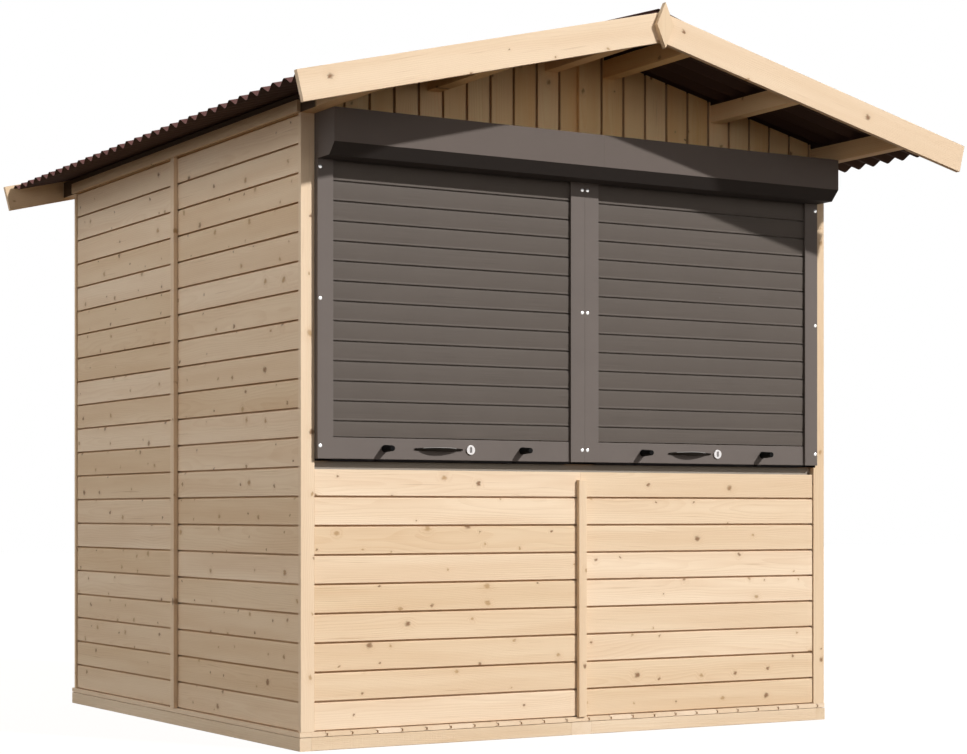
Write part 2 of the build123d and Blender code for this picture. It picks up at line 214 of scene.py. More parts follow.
def drawn(name, outline, axis, start, length):
    """Draws a closed outline square to an axis, and extrudes it along that axis."""
    bpy.ops.object.select_all(action="DESELECT")
    bpy.ops.mesh.primitive_circle_add(vertices=len(outline), fill_type="NGON")
    piece = bpy.context.object
    piece.name = name
    for vertex, (a, b) in zip(piece.data.vertices, outline):
        vertex.co = along(axis, start, a, b)
    bpy.ops.object.mode_set(mode="EDIT")
    bpy.ops.mesh.select_all(action="SELECT")
    move = {"value": along(axis, length, 0, 0)}
    bpy.ops.mesh.extrude_region_move(TRANSFORM_OT_translate=move)
    bpy.ops.mesh.select_all(action="SELECT")
    bpy.ops.mesh.normals_make_consistent(inside=False)
    bpy.ops.object.mode_set(mode="OBJECT")
    return piece


# %% Copies, joined pieces and finished pieces
def copied(piece, move=(0, 0, 0)):
    """A copy with its own mesh, moved within that mesh."""
    twin = bpy.data.objects.new(piece.name, piece.data.copy())
    scene.collection.objects.link(twin)
    twin.data.transform(Matrix.Translation(move))
    return twin


def joined(name, parts):
    """Makes one piece of many."""
    take(parts[0])
    for part in parts:
        part.select_set(True)
    bpy.ops.object.join()
    whole = bpy.context.object
    whole.name = name
    whole.data.name = name
    return whole


def finished(piece, nodes, slot, *finishes):
    """Sets the finish, hides the solids that the piece takes the place of, and lets it ride with
    the kiosk.
    """
    piece.data.materials.clear()
    for finish in finishes:
        piece.data.materials.append(finish)
    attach(piece, "root")
    if nodes:
        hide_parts(*nodes)
    print(piece.name, "faces:", len(piece.data.polygons))
    return piece


# %% [markdown]
# Much of the timber is plain square stuff whose solid is already right but too sharp. It could be
# drawn again, but a copy of the solid is sure to fit. The copy's loose triangles are merged and
# dissolved back to flat faces, and its edges are eased by a bevel, as a plane would.

# %% Planed copies of plain solids
SAME_PLACE = 0.00002
SAME_PLANE = math.radians(0.5)
SAME_LEVEL = 0.0005
SMOOTH = math.radians(30)


def merged_copy(node, name):
    """A copy of a plain solid whose loose triangles are joined to whole faces again."""
    piece = bpy.data.objects.new(name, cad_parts[node].data.copy())
    scene.collection.objects.link(piece)
    take(piece)
    bpy.ops.mesh.customdata_custom_splitnormals_clear()
    bpy.ops.object.mode_set(mode="EDIT")
    bpy.ops.mesh.select_all(action="SELECT")
    bpy.ops.mesh.remove_doubles(threshold=SAME_PLACE)
    bpy.ops.mesh.dissolve_limited(angle_limit=SAME_PLANE)
    bpy.ops.object.mode_set(mode="OBJECT")
    return piece


def raised(piece, level, rise):
    """Moves up the points of a copy that lie at one level."""
    for vertex in piece.data.vertices:
        if abs(vertex.co.z - level) < SAME_LEVEL:
            vertex.co.z += rise
    return piece


def eased(piece, width, segments=2):
    """Rounds the sharp edges, and keeps the shading of the flat faces flat."""
    take(piece)
    bevel = piece.modifiers.new("eased", "BEVEL")
    bevel.width = width
    bevel.segments = segments
    bevel.limit_method = "ANGLE"
    bevel.angle_limit = SMOOTH
    bevel.use_clamp_overlap = True
    bpy.ops.object.modifier_apply(modifier="eased")
    bpy.ops.object.shade_smooth_by_angle(angle=SMOOTH)
    piece.modifiers.new("weighted", "WEIGHTED_NORMAL").keep_sharp = True
    bpy.ops.object.modifier_apply(modifier="weighted")
    return piece


# %% [markdown]
# ## Grain
# Every board comes from another tree, and its grain runs along it. A texture laid over the whole
# wall would run on from board to board and give that away. So each board keeps, at each of its
# points, where that point lay in its tree: along the trunk and in two directions across it. A
# random shift per board gives it its own rings and knots, and a second value its own tone.

# %% Where a board lay in its tree
TRUNK_REACH = ((0, 60), (-0.09, 0.09), (0.02, 0.1))
chance = random.Random(7)


def middle(mesh_vertices):
    """The mean place of the points of a mesh."""
    return sum((vertex.co for vertex in mesh_vertices), Vector()) / len(mesh_vertices)


def mark_grain(board, length_way, face_way):
    """Stores the place in the tree of each point of one board."""
    length_way = Vector(length_way).normalized()
    face_way = Vector(face_way).normalized()
    width_way = face_way.cross(length_way)
    shift = Vector([chance.uniform(*reach) for reach in TRUNK_REACH])
    mesh = board.data
    centre = middle(mesh.vertices)
    places = []
    for vertex in mesh.vertices:
        at = vertex.co - centre
        place = Vector((at.dot(length_way), at.dot(width_way), at.dot(face_way)))
        places.extend(place + shift)
    grain = mesh.attributes.new("grain", "FLOAT_VECTOR", "POINT")
    grain.data.foreach_set("vector", places)
    tone = mesh.attributes.new("tone", "FLOAT", "POINT")
    tone.data.foreach_set("value", [chance.random()] * len(mesh.vertices))
    return board


def vertex_sum(part):
    """A fixed order for loose parts: the sum of their points' coordinates."""
    return tuple(sum((vertex.co for vertex in part.data.vertices), Vector()))


def grained_parts(piece, length_way, face_way):
    """Gives each loose solid of a piece its own grain."""
    take(piece)
    name = piece.name
    bpy.ops.object.mode_set(mode="EDIT")
    bpy.ops.mesh.select_all(action="SELECT")
    bpy.ops.mesh.separate(type="LOOSE")
    bpy.ops.object.mode_set(mode="OBJECT")
    parts = sorted(bpy.context.selected_objects, key=vertex_sum)
    for part in parts:
        mark_grain(part, length_way, face_way)
    return joined(name, parts)


# %% [markdown]
# ## Spruce
# Planed spruce is pale, with fine darker rings that run along a board in long streaks, close
# fibres, small brown knots round which the rings bend, and a tone that differs from board to
# board. A photograph of wood would repeat itself, so all of it is worked out from the place in the
# tree. Rings then also show on a board's end, as arcs.

# %% More helpers for node trees
def vector_calc(tree, operation, *values):
    """One vector math node."""
    step = tree.nodes.new("ShaderNodeVectorMath")
    step.operation = operation
    for place, value in zip(step.inputs, values):
        socket(tree, place, value)
    return step.outputs["Value"] if operation == "LENGTH" else step.outputs["Vector"]


def object_place(tree):
    """Where a point lies on the kiosk."""
    return tree.nodes.new("ShaderNodeTexCoord").outputs["Object"]


def attribute(tree, name, output):
    """A value that a mesh keeps at its points."""
    reader = tree.nodes.new("ShaderNodeAttribute")
    reader.attribute_name = name
    return reader.outputs[output]


def noise(tree, place, scale, detail=2.0, rough=0.5):
    """Smooth noise about 0.5."""
    cloud = tree.nodes.new("ShaderNodeTexNoise")
    tree.links.new(place, cloud.inputs["Vector"])
    cloud.inputs["Scale"].default_value = scale
    cloud.inputs["Detail"].default_value = detail
    cloud.inputs["Roughness"].default_value = rough
    return cloud.outputs["Fac"]


def long_noise(tree, place, often, detail=2.0, rough=0.5):
    """Noise that changes at a different rate in each direction."""
    return noise(tree, vector_calc(tree, "MULTIPLY", place, often), 1.0, detail, rough)


def sway(tree, place, often, reach, detail=2.0):
    """A smooth random shift about zero, with its own reach in each direction."""
    cloud = tree.nodes.new("ShaderNodeTexNoise")
    tree.links.new(vector_calc(tree, "MULTIPLY", place, often), cloud.inputs["Vector"])
    cloud.inputs["Scale"].default_value = 1.0
    cloud.inputs["Detail"].default_value = detail
    centred = vector_calc(tree, "SUBTRACT", cloud.outputs["Color"], (0.5, 0.5, 0.5))
    return vector_calc(tree, "MULTIPLY", centred, reach)


def mixed(tree, share, first, second):
    """Mixes two colours."""
    mix = tree.nodes.new("ShaderNodeMix")
    mix.data_type = "RGBA"
    socket(tree, mix.inputs["Factor"], share)
    for place, colour in (("A", first), ("B", second)):
        at = [i for i in mix.inputs if i.name == place and i.type == "RGBA"][0]
        socket(tree, at, colour if isinstance(colour, bpy.types.NodeSocket) else (*colour, 1))
    return [o for o in mix.outputs if o.type == "RGBA"][0]


def levelled(tree, colour, value, saturation=1.0):
    """Makes a colour lighter or darker, and stronger or greyer."""
    level = tree.nodes.new("ShaderNodeHueSaturation")
    socket(tree, level.inputs["Color"], colour)
    socket(tree, level.inputs["Value"], value)
    socket(tree, level.inputs["Saturation"], saturation)
    return level.outputs["Color"]


def bumped(tree, shader, height, distance, strength=1.0):
    """Lets a height shape the light on a surface."""
    bump = tree.nodes.new("ShaderNodeBump")
    bump.inputs["Strength"].default_value = strength
    bump.inputs["Distance"].default_value = distance
    tree.links.new(height, bump.inputs["Height"])
    tree.links.new(bump.outputs["Normal"], shader.inputs["Normal"])


# %% [markdown]
# A knot is where a branch left the trunk. The boards are divided into cells, about 14 by 6 cm, each
# with one point, and some of these points are knots. A knot's outline is bent by noise, because a
# perfect round would look printed on.

# %% Knots
KNOT_CELLS = (7.0, 17.0, 0.0)
KNOT_CELL_SIZE = (0.125, 0.059, 0.0)
KNOT_MIN, KNOT_MORE = 0.003, 0.006


def knots(tree, place, often):
    """How much a point is in a knot, how near it is to one, and that knot's random colour."""
    cell = vector_calc(tree, "MULTIPLY", place, KNOT_CELLS)
    scatter = tree.nodes.new("ShaderNodeTexVoronoi")
    scatter.voronoi_dimensions = "2D"
    scatter.inputs["Scale"].default_value = 1.0
    tree.links.new(cell, scatter.inputs["Vector"])
    away = vector_calc(tree, "SUBTRACT", cell, scatter.outputs["Position"])
    away = vector_calc(tree, "MULTIPLY", away, KNOT_CELL_SIZE)
    bend = sway(tree, place, (55.0, 110.0, 110.0), (0.016, 0.014, 0.0), detail=3.0)
    distance = vector_calc(tree, "LENGTH", vector_calc(tree, "ADD", away, bend))
    own = tree.nodes.new("ShaderNodeSeparateColor")
    tree.links.new(scatter.outputs["Color"], own.inputs["Color"])
    there = calc(tree, "LESS_THAN", own.outputs["Green"], often)
    size = calc(tree, "POWER", own.outputs["Red"], 2.0)
    radius = calc(tree, "MULTIPLY_ADD", size, KNOT_MORE, KNOT_MIN)
    ratio = calc(tree, "DIVIDE", distance, radius)
    inside = calc(tree, "MULTIPLY", smooth_range(tree, ratio, 1.5, 0.4), there)
    near = calc(tree, "MULTIPLY", smooth_range(tree, ratio, 4.0, 0.8), there)
    return inside, near, own.outputs["Blue"]


# %% [markdown]
# The outer faces of the eave purlins are painted nearly black over the walls, which is painted
# shade, and pale in front of them. A second piece could carry that colour, but a mask on the
# kiosk's own coordinates does it in place.

# %% Painted shade on the eave purlins
OUTSIDE_X = (1.0005, 1.0015)
OVER_WALL_Y = (-0.925, -0.905)


def painted_shade_part(tree):
    """Where shade is painted: 1 on the outer faces of the eave purlins over the walls, and 0
    elsewhere.
    """
    where = split(tree, object_place(tree))
    outside = smooth_range(tree, calc(tree, "ABSOLUTE", where["X"]), *OUTSIDE_X)
    return calc(tree, "MULTIPLY", outside, smooth_range(tree, where["Y"], *OVER_WALL_Y))


# %% Spruce with rings, fibres and knots
RING = 0.0042
RESIN = (0.5, 0.3, 0.15)
KNOT_HALO = (0.6, 0.38, 0.2)
DARK_KNOT, PALE_KNOT = (0.23, 0.115, 0.055), (0.50, 0.31, 0.155)
# Colour of the painted shade on the outer faces of the eave purlins.
PAINTED_SHADE_COLOUR = (0.03, 0.014, 0.01)


def late_wood(tree, place, near):
    """The dark part of each year's ring, bent out round the knots."""
    bend = sway(tree, place, (1.3, 7.0, 7.0), (0.0, 0.05, 0.05))
    trunk = vector_calc(tree, "MULTIPLY", vector_calc(tree, "ADD", place, bend), (0.0, 1.0, 1.0))
    radius = calc(tree, "MULTIPLY_ADD", near, 0.006, vector_calc(tree, "LENGTH", trunk))
    year = calc(tree, "FRACT", calc(tree, "DIVIDE", radius, RING))
    rise, fall = smooth_range(tree, year, 0.25, 0.9), smooth_range(tree, year, 1.0, 0.93)
    return calc(tree, "MULTIPLY", rise, fall)


def spruce(name, pale, ring, often, rings=0.24, sawn=0.0, with_painted_shade=False):
    """Spruce of two colours, with knots as often as is said, planed or rough from the saw, and with
    painted shade on the eave purlins if asked.
    """
    finish, tree, shader = new_finish(name)
    place = attribute(tree, "grain", "Vector")
    tone = attribute(tree, "tone", "Fac")
    inside, near, kind = knots(tree, place, often)
    late = late_wood(tree, place, near)
    fibre = long_noise(tree, place, (7.0, 520.0, 520.0), 3.0, 0.6)
    cloud = long_noise(tree, place, (1.1, 16.0, 16.0))
    resin = long_noise(tree, place, (4.0, 150.0, 150.0))

    streak = calc(tree, "MULTIPLY", late, rings)
    streak = calc(tree, "MULTIPLY_ADD", smooth_range(tree, cloud, 0.3, 0.72), 0.55, streak)
    streak = calc(tree, "MULTIPLY_ADD", calc(tree, "SUBTRACT", fibre, 0.5), 0.5, streak)
    wood = mixed(tree, streak, pale, ring)
    resin = calc(tree, "MULTIPLY", smooth_range(tree, resin, 0.64, 0.82), 0.4)
    wood = mixed(tree, resin, wood, RESIN)
    value = calc(tree, "MULTIPLY_ADD", tone, 0.12, 0.93)
    wood = levelled(tree, wood, value, calc(tree, "MULTIPLY_ADD", tone, -0.16, 1.08))
    wood = mixed(tree, calc(tree, "MULTIPLY", near, 0.14), wood, KNOT_HALO)
    heart = mixed(tree, smooth_range(tree, kind, 0.25, 0.7), DARK_KNOT, PALE_KNOT)
    wood = mixed(tree, calc(tree, "MULTIPLY", inside, 0.85), wood, heart)
    # Painted shade: the outer faces of the eave purlins over the walls are darkened.
    if with_painted_shade:
        wood = mixed(tree, calc(tree, "MULTIPLY", painted_shade_part(tree), 0.93), wood, PAINTED_SHADE_COLOUR)
    tree.links.new(wood, shader.inputs["Base Color"])

    rough = calc(tree, "MULTIPLY_ADD", fibre, 0.25, 0.5 + sawn * 0.15)
    tree.links.new(rough, shader.inputs["Roughness"])
    shader.inputs["Specular IOR Level"].default_value = 0.08
    relief = calc(tree, "MULTIPLY_ADD", late, 0.5, fibre)
    relief = calc(tree, "MULTIPLY_ADD", inside, -0.6, relief)
    if sawn:
        marks = long_noise(tree, place, (260.0, 14.0, 14.0), 3.0, 0.7)
        relief = calc(tree, "MULTIPLY_ADD", marks, sawn * 1.6, relief)
    bumped(tree, shader, relief, 0.0004 + sawn * 0.0003)
    return finish


# %% [markdown]
# All the timber is spruce, but one finish for all would look flat. Boards and trims are planed and
# fresh, the wood inside the joints is darker, partly from dust and partly as painted shade, and the
# base is rough from the saw. The gable and its purlins, in the shade of the roof, get a warmer and
# brighter finish, which is painted warm light, and the eave purlins get painted shade over the
# walls.

# %% Timber finishes
board_spruce = spruce("board_spruce", (0.885, 0.69, 0.485), (0.76, 0.54, 0.345), often=0.42)
trim_spruce = spruce(
    "trim_spruce", (0.85, 0.65, 0.445), (0.755, 0.535, 0.335), often=0.3, rings=0.16)
beam_spruce = spruce(
    "beam_spruce", (0.91, 0.73, 0.535), (0.79, 0.58, 0.38), often=0.12, sawn=1.0)
# Darker wood for the insides of the joints: partly dust, partly painted shade.
joint_dust_and_shade_spruce = spruce("joint_dust_and_shade_spruce", (0.70, 0.48, 0.29), (0.58, 0.38, 0.21), often=0.0)
floor_spruce = spruce(
    "floor_spruce", (0.90, 0.705, 0.505), (0.845, 0.64, 0.445), often=0.0, rings=0.5)
# Painted warm light: the gable's finish is warmer and brighter than the boards' to stand in for the
# warm light in the roof's shade.
gable_painted_warm_spruce = spruce("gable_painted_warm_spruce", (1.0, 0.72, 0.40), (0.92, 0.56, 0.26), often=0.35)
# The eave purlins' finish carries painted shade over the walls.
eave_painted_shade_spruce = spruce(
    "eave_painted_shade_spruce", (0.90, 0.64, 0.38), (0.74, 0.46, 0.24), often=0.12, with_painted_shade=True)
print("timber finishes:", [m.name for m in bpy.data.materials if m.name.endswith("_spruce")])

# %% [markdown]
# ## Horizontal wall boards
# The walls are closed with tongue and groove boards. Each has a small cove near its upper edge, and
# above the cove its face steps back in a narrow slot. The next board stands over that slot, so a
# thin dark line parts the two. The slot could be painted on, but a real one catches light and
# shadow from any side. Each board is drawn with its cove and slot and extruded to length, and the
# top one is cut to the height that is left. The lowest boards stand a little off the floor, on a
# strip that is set back, and all stop just short of the trims. The wood in the joints is darker,
# partly from dust and partly as painted shade.

# %% The section of a wall board
BOARD = 0.019
COVER = 0.0882
COVE_H = 0.009
COVE_D = 0.002
SLOT_H = 0.0056
SLOT_D = 0.012
LIP = 0.0008
ROW_GAP = 0.0003
print("board:", BOARD, "thick, cover:", COVER, "slot:", SLOT_H, "high and", SLOT_D, "deep")


def board_section(height):
    """Depth and height of each point round a board, from its lower front edge up and back."""
    top = height - ROW_GAP
    cove = COVER - COVE_H
    slot = COVER - SLOT_H
    points = [(LIP, 0.0), (0.0, LIP)]
    if top > cove:
        points.append((0.0, cove))
        for degrees in (30, 60, 90):
            turn = math.radians(degrees)
            rise = cove + (slot - cove) * (1 - math.cos(turn))
            if rise < top:
                points.append((COVE_D * math.sin(turn), rise))
    depth = points[-1][0]
    if top > slot:
        points.append((SLOT_D, slot))
        depth = SLOT_D
    return points + [(depth, top), (BOARD, top), (BOARD, 0.0)]


# %% Rows of boards
FOOT_GAP = 0.0036
LEAST_ROW = 0.002
END_GAP = 0.0022
MIDDLE_GAP = 0.0003
# Depth behind the front where joint faces get the darker wood: partly dust, partly painted shade.
DUST_AND_SHADE_FROM, DUST_AND_SHADE_TO = 0.004, 0.013


def wall_of_boards(name, axis, face, inward, span, low, high, gaps=(END_GAP, END_GAP)):
    """Lays boards up a wall, from its front face inwards, with a gap at each end."""
    outward = (0, -inward, 0) if axis == "X" else (-inward, 0, 0)
    way = (1, 0, 0) if axis == "X" else (0, 1, 0)
    start, length = span[0] + gaps[0], span[1] - span[0] - sum(gaps)
    strip = [(SLOT_D, 0), (BOARD, 0), (BOARD, FOOT_GAP), (SLOT_D, FOOT_GAP)]
    sections = [(low, strip)]
    foot = low + FOOT_GAP
    while foot < high - LEAST_ROW:
        sections.append((foot, board_section(min(COVER, high - foot))))
        foot += COVER
    rows = []
    for foot, section in sections:
        outline = [(face + inward * depth, foot + up) for depth, up in section]
        rows.append(mark_grain(drawn(name, outline, axis, start, length), way, outward))
    return joined(name, rows)


def dust_and_shade_joints(piece, axis, face):
    """Gives the faces inside the joints the second finish, a darker wood that is partly dust and
    partly painted shade, by their depth behind the front.
    """
    for polygon in piece.data.polygons:
        depth = abs(getattr(polygon.center, axis) - face)
        polygon.material_index = 1 if DUST_AND_SHADE_FROM < depth < DUST_AND_SHADE_TO else 0


# %% Side walls
for side, sign in (("left", -1), ("right", 1)):
    for part in ("front", "rear"):
        node = f"{side}_wall_{part}_panel"
        low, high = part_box(node)
        face = low.x if sign < 0 else high.x
        boards = wall_of_boards(
            f"{side}_wall_{part}_boards", "Y", face, -sign, (low.y, high.y), low.z, high.z)
        finished(boards, [node], "boards", board_spruce, joint_dust_and_shade_spruce)
        dust_and_shade_joints(boards, "x", face)

# %% Low front wall
for side, gaps in (("left", (END_GAP, MIDDLE_GAP)), ("right", (MIDDLE_GAP, END_GAP))):
    node = f"{side}_front_low_panel"
    low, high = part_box(node)
    boards = wall_of_boards(
        f"{side}_front_low_boards", "X", low.y, 1, (low.x, high.x), low.z, high.z, gaps)
    finished(boards, [node], "boards", board_spruce, joint_dust_and_shade_spruce)
    dust_and_shade_joints(boards, "y", low.y)

# %% [markdown]
# ## Upright gable boards
# The gables are closed with upright tongue and groove boards, with an open joint beside each. One
# big panel could be cut to the gable's shape, but then no board would have its own grain. So each
# is drawn in plan, extruded upwards past the roof, and cut off along the roof's slope by a bisect.
# Purlins pass through the gable, so the boards are notched round them as a joiner would saw them.

# %% Sizes of the gable
GABLE_COVER = 0.0858
JOINT = 0.009
JOINT_D = 0.012
HAIR = 0.0002
PLAY = 0.0004
PURLIN_W, PURLIN_H = 0.046, 0.058
NARROW = JOINT + 0.002
LEAST_STRIP = 0.001
TINY = 1e-6
PITCH = math.radians(13.8)
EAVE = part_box("eave_purlins")[1]
ROOF_Z = EAVE.z + EAVE.x * math.tan(PITCH)
print("ridge of the boards at:", round(ROOF_Z, 4))


def cut_off(piece, place, normal):
    """Saws off what lies beyond a plane, and closes the cut."""
    take(piece)
    bpy.ops.object.mode_set(mode="EDIT")
    bpy.ops.mesh.select_all(action="SELECT")
    bpy.ops.mesh.bisect(plane_co=place, plane_no=normal, use_fill=True, clear_outer=True)
    bpy.ops.object.mode_set(mode="OBJECT")
    return piece


def purlin_places():
    """Near edge, far edge and underside of each purlin on the right of the centre."""
    places = []
    for node in ("ridge_purlins", "middle_purlins"):
        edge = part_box(node)[1].x
        top = ROOF_Z - edge * math.tan(PITCH)
        places.append((edge - PURLIN_W, edge, top - PURLIN_H))
    return places


# %% Gable boards
def strip_in_plan(a, b, first, last):
    """Across and depth of each point round the strip of a board that lies between two cuts."""
    if last and b - a < NARROW:
        return [(a, JOINT_D), (b - HAIR, JOINT_D), (b - HAIR, BOARD), (a, BOARD)]
    points = [(a, LIP), (a + LIP, 0)] if first else [(a, 0)]
    if last:
        points += [(b - JOINT - LIP, 0), (b - JOINT, LIP), (b - JOINT, JOINT_D)]
        points += [(b - HAIR, JOINT_D), (b - HAIR, BOARD)]
    else:
        points += [(b, 0), (b, BOARD)]
    return points + [(a, BOARD)]


def top_of_strip(a, b):
    """The underside of the purlin that a strip stands under, or else the height of the ridge."""
    for near, far, under in purlin_places():
        if near - TINY <= a and b <= far + TINY:
            return under - PLAY
    return ROOF_Z


def gable_board(name, x, end, side, inward, face, low):
    """One upright board, made of strips between the sides of the purlins."""
    sides = [edge for purlin in purlin_places() for edge in purlin[:2] if x < edge < end]
    cuts = sorted({x, end, *sides})
    slope = (side * math.sin(PITCH), 0, math.cos(PITCH))
    strips = []
    for a, b in zip(cuts, cuts[1:]):
        plan = strip_in_plan(a, b, a == x, b == end)
        outline = [(side * across, face + inward * depth) for across, depth in plan]
        strip = drawn(name, outline, "Z", low, top_of_strip(a, b) - low)
        strips.append(cut_off(strip, (0, 0, ROOF_Z - PLAY), slope))
    return mark_grain(joined(name, strips), (0, 0, 1), (0, -inward, 0))


def gable_boards(name, side, inward, face, low, outer):
    """Upright boards from the centre to the corner trim."""
    boards = []
    x = 0.0
    while x < outer - LEAST_STRIP:
        end = min(x + GABLE_COVER, outer)
        boards.append(gable_board("gable_board", x, end, side, inward, face, low))
        x += GABLE_COVER
    return joined(name, boards)


for side, sign in (("left", -1), ("right", 1)):
    node = f"{side}_front_gable"
    low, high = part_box(node)
    outer = high.x if sign > 0 else -low.x
    gable = gable_boards(f"{side}_front_gable_boards", sign, 1, low.y, low.z, outer)
    finished(gable, [node], "boards", gable_painted_warm_spruce, joint_dust_and_shade_spruce)
    dust_and_shade_joints(gable, "y", low.y)

# %% [markdown]
# The back can't be seen in the photograph. It repeats what the other walls have: horizontal boards
# up to the height of the side walls, and upright boards in the gable above them.

# %% Back wall
WALL_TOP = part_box("left_wall_front_panel")[1].z
for side, sign in (("left", -1), ("right", 1)):
    node = f"{side}_back_panel"
    low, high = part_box(node)
    outer = high.x if sign > 0 else -low.x
    rows = wall_of_boards(f"{side}_back_rows", "X", high.y, -1, (low.x, high.x), low.z, WALL_TOP)
    gable = gable_boards(f"{side}_back_gable", sign, -1, high.y, WALL_TOP, outer)
    back = joined(f"{side}_back_boards", [rows, gable])
    finished(back, [node], "boards", board_spruce, joint_dust_and_shade_spruce)
    dust_and_shade_joints(back, "y", high.y)

# %% [markdown]
# ## Floor boards
# The floor is laid with tongue and groove boards that run from front to back. Their ends show in
# front, above the base, as small dark notches in a pale strip. One solid deck can't show these, so
# each board is drawn with its tongue on the right and its groove on the left. The tongue stops
# short of the groove's bottom, as a real one does to leave room for the wood to swell.

# %% Floor boards
FLOOR_COVER = 0.0858
FLOOR_UP = 0.002
FLOOR_GAP = 0.0011
FLOOR_EASE = 0.0012
TONGUE, TONGUE_Z = 0.0045, (0.005, 0.0056, 0.0104, 0.011)
GROOVE, GROOVE_Z = 0.0085, (0.0035, 0.004, 0.012, 0.0125)
LEAST_BOARD = 0.02


def floor_board(x, width, low, high, tongue):
    """Draws one floor board's end, with a groove on the left and a tongue on the right."""
    end = x + width - FLOOR_GAP
    foot = low.z + FLOOR_UP
    outline = [(x, foot), (end, foot)]
    if tongue:
        a, b, c, d = (low.z + up for up in TONGUE_Z)
        outline += [(end, a), (end + TONGUE, b), (end + TONGUE, c), (end, d)]
    ease = FLOOR_EASE
    outline += [(end, high.z - ease), (end - ease, high.z), (x + ease, high.z), (x, high.z - ease)]
    if x > low.x:
        a, b, c, d = (low.z + up for up in GROOVE_Z)
        outline += [(x, d), (x + GROOVE, c), (x + GROOVE, b), (x, a)]
    board = drawn("floor_board", outline, "Y", low.y, high.y - low.y)
    return mark_grain(board, (0, 1, 0), (0, 0, 1))


low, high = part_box("floor_deck")
laid = []
x = low.x
while x < high.x - LEAST_BOARD:
    width = min(FLOOR_COVER, high.x - x)
    laid.append(floor_board(x, width, low, high, x + width < high.x - LEAST_BOARD))
    x += FLOOR_COVER
finished(joined("floor_boards", laid), ["floor_deck"], "floor", floor_spruce)

# %% [markdown]
# ## Square timber
# Trims, cover strips, posts, rails and purlins are square timber, and the barge boards and the
# plates over their joints lie in the gable's plane. Their solids need only eased edges and a grain
# that runs along them, so planed copies are enough. The upper cover strip stands in the gable's
# shade and gets its finish, with the painted warm light. The feet of the jamb boards are raised a
# little, because the shutters' seal stands in front of them and would leave their lowest edge in
# view.

# %% Square timber with eased edges
PLANED = 0.0015
SEAL_LIFT = 0.004
UP, ACROSS, BACK, FRONT = (0, 0, 1), (1, 0, 0), (0, 1, 0), (0, -1, 0)


def timber_piece(node, slot, finish, length_way, face_way, foot_up=0.0):
    """A planed copy of a solid, whose loose parts each have their own grain."""
    piece = raised(merged_copy(node, node + "_planed"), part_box(node)[0].z, foot_up)
    piece = grained_parts(eased(piece, PLANED), length_way, face_way)
    return finished(piece, [node], slot, finish)


# %% Trims, strips and jambs
GABLE_STRIP_Z = WALL_TOP - 0.2

timber_piece("front_corner_trims", "trim", trim_spruce, UP, FRONT)
timber_piece("rear_corner_trims", "trim", trim_spruce, UP, FRONT)
timber_piece("side_cover_strips", "trim", trim_spruce, UP, ACROSS)
strips = timber_piece("front_cover_strips", "trim", trim_spruce, UP, FRONT)
# Painted warm light on the upper part of the front cover strips, in the gable's shade.
strips.data.materials.append(gable_painted_warm_spruce)
for face in strips.data.polygons:
    face.material_index = 1 if face.center.z > GABLE_STRIP_Z else 0
timber_piece("back_cover_strip", "trim", trim_spruce, UP, BACK)
timber_piece("eave_cover_strips", "trim", trim_spruce, BACK, ACROSS)
timber_piece("front_jamb_boards", "trim", trim_spruce, UP, FRONT, foot_up=SEAL_LIFT)

# %% Posts, rails, purlins and barge boards
timber_piece("side_wall_posts", "frame", beam_spruce, UP, FRONT)
timber_piece("middle_posts", "frame", beam_spruce, UP, FRONT)
timber_piece("front_rails", "frame", beam_spruce, ACROSS, FRONT)
# The purlins under the roof take the gable's painted warm light.
timber_piece("middle_purlins", "frame", gable_painted_warm_spruce, BACK, ACROSS)
timber_piece("ridge_purlins", "frame", gable_painted_warm_spruce, BACK, ACROSS)
timber_piece("eave_purlins", "frame", eave_painted_shade_spruce, BACK, ACROSS)
for side, sign in (("left", 1), ("right", -1)):
    slope = (math.cos(PITCH), 0, sign * math.sin(PITCH))
    timber_piece(f"{side}_barge_boards", "trim", trim_spruce, slope, FRONT)
timber_piece("gable_finials", "trim", trim_spruce, UP, FRONT)

# %% [markdown]
# The base is two ladders of beams side by side. In each, two long beams run from front to back, and
# four short ones stand between them. The solid of a ladder is one piece, in which no line would
# part the beams. So each beam is drawn with eased corners, and extruded a hair short of the next.

# %% Base beams
BEAM = 0.038
BEAM_EASE = 0.0014
BEAM_GAP = 0.0006
CROSS_BEAMS = 4


def beam(name, axis, low, high):
    """One beam that fills a box, with its corners eased."""
    e = BEAM_EASE
    a, c = (low.y, high.y) if axis == "X" else (low.x, high.x)
    b, d = low.z, high.z
    outline = [(a + e, b), (c - e, b), (c, b + e), (c, d - e)]
    outline += [(c - e, d), (a + e, d), (a, d - e), (a, b + e)]
    start, end = (low.x, high.x) if axis == "X" else (low.y, high.y)
    way = (1, 0, 0) if axis == "X" else (0, 1, 0)
    return mark_grain(drawn(name, outline, axis, start, end - start), way, (0, 0, 1))


for side in ("left", "right"):
    node = f"{side}_base_frame"
    low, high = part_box(node)
    beams = []
    for x in (low.x, high.x - BEAM):
        corners = Vector((x, low.y, low.z)), Vector((x + BEAM, high.y, high.z))
        beams.append(beam("long_beam", "Y", *corners))
    bay = (high.y - low.y - CROSS_BEAMS * BEAM) / (CROSS_BEAMS - 1)
    inner, outer = low.x + BEAM + BEAM_GAP, high.x - BEAM - BEAM_GAP
    for i in range(CROSS_BEAMS):
        y = low.y + i * (bay + BEAM)
        corners = Vector((inner, y, low.z)), Vector((outer, y + BEAM, high.z))
        beams.append(beam("short_beam", "X", *corners))
    finished(joined(f"{side}_base_beams", beams), [node], "base", beam_spruce)

